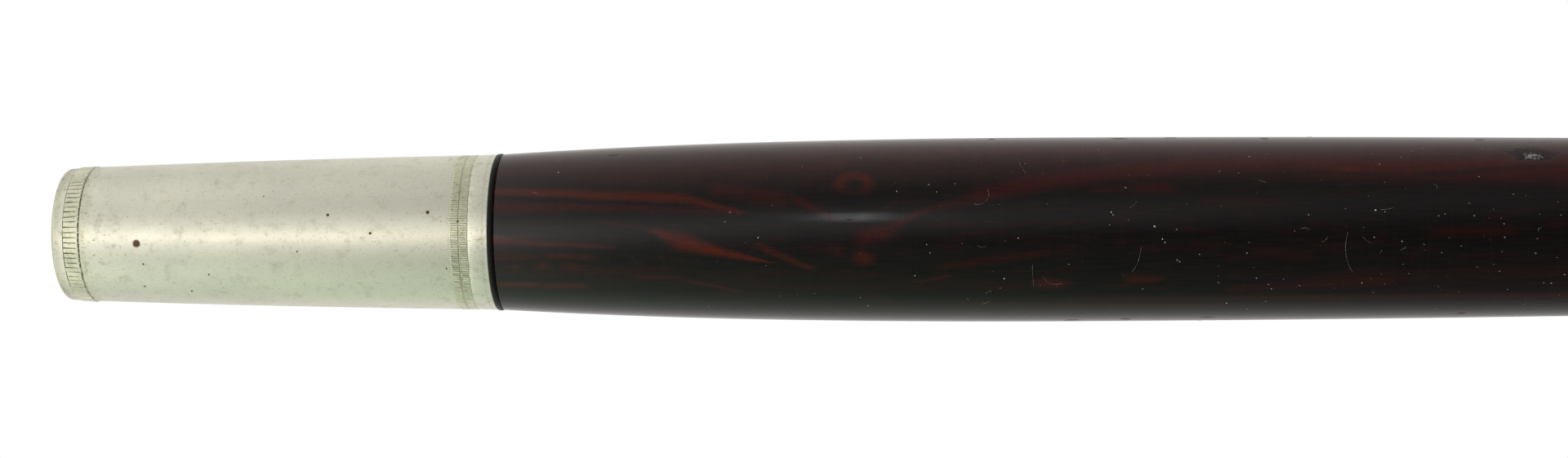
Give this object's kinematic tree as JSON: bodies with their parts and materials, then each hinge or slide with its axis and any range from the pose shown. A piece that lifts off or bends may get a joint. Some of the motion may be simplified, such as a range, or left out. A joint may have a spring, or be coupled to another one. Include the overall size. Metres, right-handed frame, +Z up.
{
  "type": "wooden fife",
  "caption": "Slim transverse wooden fife with a swelling dark body, mouth hole, finger holes and long conical metal ferrules with milled bands.",
  "frame": {"origin": "on the bore's axis, halfway between the two end rims", "axes": "+X along the bore from the head end to the foot end; +Y the way the mouth hole and finger holes face; +Z up"},
  "size_m": [0.384, 0.0224, 0.0224],
  "materials": {
    "dark_hardwood": "very dark red-brown rosewood, oiled and polished, streaked grain",
    "nickel_silver": "nickel silver, a white brass, satin with fine scratches and tarnish",
    "black_ring": "black hard rubber, glossy",
    "cork": "natural cork, matte",
    "waxed_thread": "waxed linen thread"
  },
  "bodies": {
    "fife": {"wood_body": "dark_hardwood", "head_tip_ring": "nickel_silver", "head_ferrule": "nickel_silver", "head_collar": "nickel_silver", "head_shoulder_ring": "black_ring", "head_lapping": "waxed_thread", "foot_tip_ring": "nickel_silver", "foot_ferrule": "nickel_silver", "foot_collar": "nickel_silver", "foot_shoulder_ring": "black_ring", "foot_lapping": "waxed_thread"},
    "stopper": {"cork_stopper": "cork"}
  },
  "joints": [
    {"name": "stopper_slide", "type": "slide", "parent": "fife", "child": "stopper", "axis": [1, 0, 0], "range_m": [-0.004, 0.004]}
  ]
}
